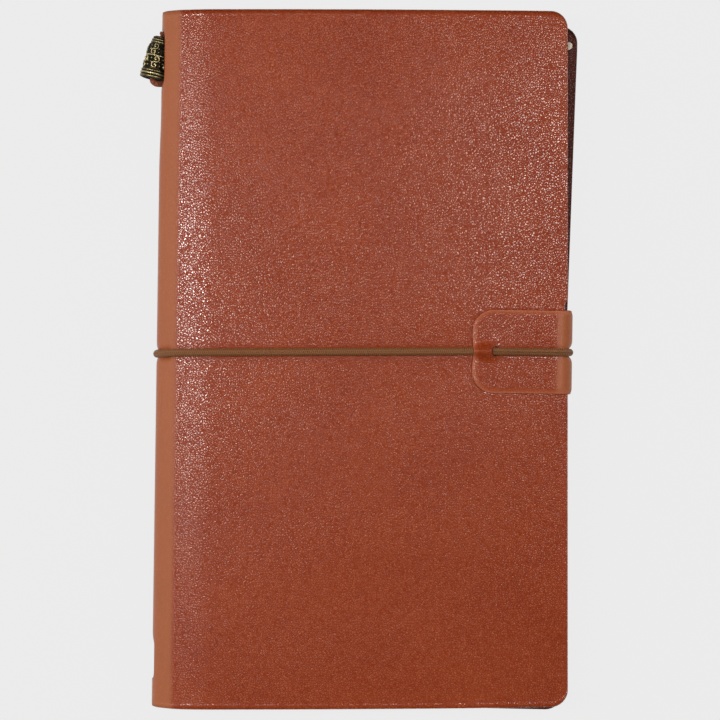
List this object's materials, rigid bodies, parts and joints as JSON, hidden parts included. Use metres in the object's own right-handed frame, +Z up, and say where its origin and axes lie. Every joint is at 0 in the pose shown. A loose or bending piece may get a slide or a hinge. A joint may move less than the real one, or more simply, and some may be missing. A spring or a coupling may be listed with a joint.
{
  "type": "refillable notebook cover",
  "caption": "Leather notebook cover folded round stitched booklets and a zip pouch, shut by an elastic cord with a leather tab; a bronze bead hangs at the spine.",
  "frame": {"origin": "centre of the bounding box in plan, at the lowest point, where the closure cord crosses the rear of the tab", "axes": "+X from the spine to the fore edge, +Y from foot to head along the spine, +Z up out of the front cover"},
  "size_m": [0.1412, 0.223, 0.025],
  "materials": {
    "cover_leather": "smooth, fine grained, semi-gloss",
    "lining_leather": "smooth matt lining",
    "closure_elastic": "braided elastic cord",
    "strand_elastic": "braided elastic strand",
    "charm_cord": "waxed cord",
    "kraft_card": "plain card",
    "pages": "uncoated paper",
    "staple_wire": "bright wire",
    "clear_film": "clear soft film",
    "zip_tape": "woven tape",
    "zip_plastic": "moulded",
    "bronze": "antique bronze, darkened recesses"
  },
  "bodies": {
    "root": {"back_cover": "cover_leather", "back_lining": "lining_leather", "spine_wall": "cover_leather", "spine_lining": "lining_leather", "front_fold": "cover_leather", "front_fold_lining": "lining_leather", "closure_cord_front": "closure_elastic", "closure_cord_back": "closure_elastic", "closure_knot": "closure_elastic", "insert_strands": "strand_elastic", "charm_knot": "charm_cord"},
    "front_cover": {"front_cover": "cover_leather", "front_lining": "lining_leather"},
    "booklet_1": {"booklet_1_cover": "kraft_card", "booklet_1_pages": "pages", "booklet_1_staples": "staple_wire"},
    "booklet_2": {"booklet_2_cover": "kraft_card", "booklet_2_pages": "pages", "booklet_2_staples": "staple_wire"},
    "booklet_3": {"booklet_3_cover": "kraft_card", "booklet_3_pages": "pages", "booklet_3_staples": "staple_wire"},
    "pouch": {"pouch_film": "clear_film", "pouch_zip_tape": "zip_tape", "pouch_zip_teeth": "zip_plastic"},
    "zip": {"zip_slider": "zip_plastic", "zip_pull": "zip_plastic"},
    "closure": {"closure_tab": "cover_leather", "closure_cord_tab": "closure_elastic"},
    "charm": {"charm_cord": "charm_cord", "charm_stop_knot": "charm_cord"},
    "bead": {"charm_bead": "bronze"}
  },
  "joints": [
    {"name": "cover_open", "type": "hinge", "parent": "root", "child": "front_cover", "pos_m": [-0.06178, -0.00035, 0.021], "axis": [0, -1, 0], "range_deg": [0, 178], "deforming": ["front_fold", "front_fold_lining", "closure_cord_front", "closure_cord_back", "closure_tab", "closure_cord_tab"]},
    {"name": "booklet_1_turn", "type": "hinge", "parent": "root", "child": "booklet_1", "pos_m": [-0.05578, -0.00035, 0.007], "axis": [0, -1, 0], "range_deg": [0, 4]},
    {"name": "booklet_2_turn", "type": "hinge", "parent": "root", "child": "booklet_2", "pos_m": [-0.05578, -0.00035, 0.0106], "axis": [0, -1, 0], "range_deg": [0, 9]},
    {"name": "booklet_3_turn", "type": "hinge", "parent": "root", "child": "booklet_3", "pos_m": [-0.05578, -0.00035, 0.0142], "axis": [0, -1, 0], "range_deg": [0, 14]},
    {"name": "pouch_turn", "type": "hinge", "parent": "root", "child": "pouch", "pos_m": [-0.05578, -0.00035, 0.01725], "axis": [0, -1, 0], "range_deg": [0, 23]},
    {"name": "zip_slide", "type": "slide", "parent": "pouch", "child": "zip", "axis": [-0.9995, 0, 0.0321], "range_m": [0, 0.09]},
    {"name": "closure_pull", "type": "slide", "parent": "root", "child": "closure", "axis": [1, 0, 0], "range_m": [0, 0.008], "stiffness_N_per_m": 60, "springref_m": -0.02},
    {"name": "charm_swing", "type": "hinge", "parent": "root", "child": "charm", "pos_m": [-0.06438, 0.0866, 0.0134], "axis": [0, 0, 1], "range_deg": [0, 95]},
    {"name": "bead_spin", "type": "hinge", "parent": "charm", "child": "bead", "pos_m": [-0.06488, 0.09525, 0.0134], "axis": [0.225, 0.9744, 0], "continuous": true}
  ],
  "couplings": [
    {"joint": "booklet_1_turn", "follows": "cover_open", "ratio": 0.02},
    {"joint": "booklet_2_turn", "follows": "cover_open", "ratio": 0.045},
    {"joint": "booklet_3_turn", "follows": "cover_open", "ratio": 0.075},
    {"joint": "pouch_turn", "follows": "cover_open", "ratio": 0.125}
  ]
}
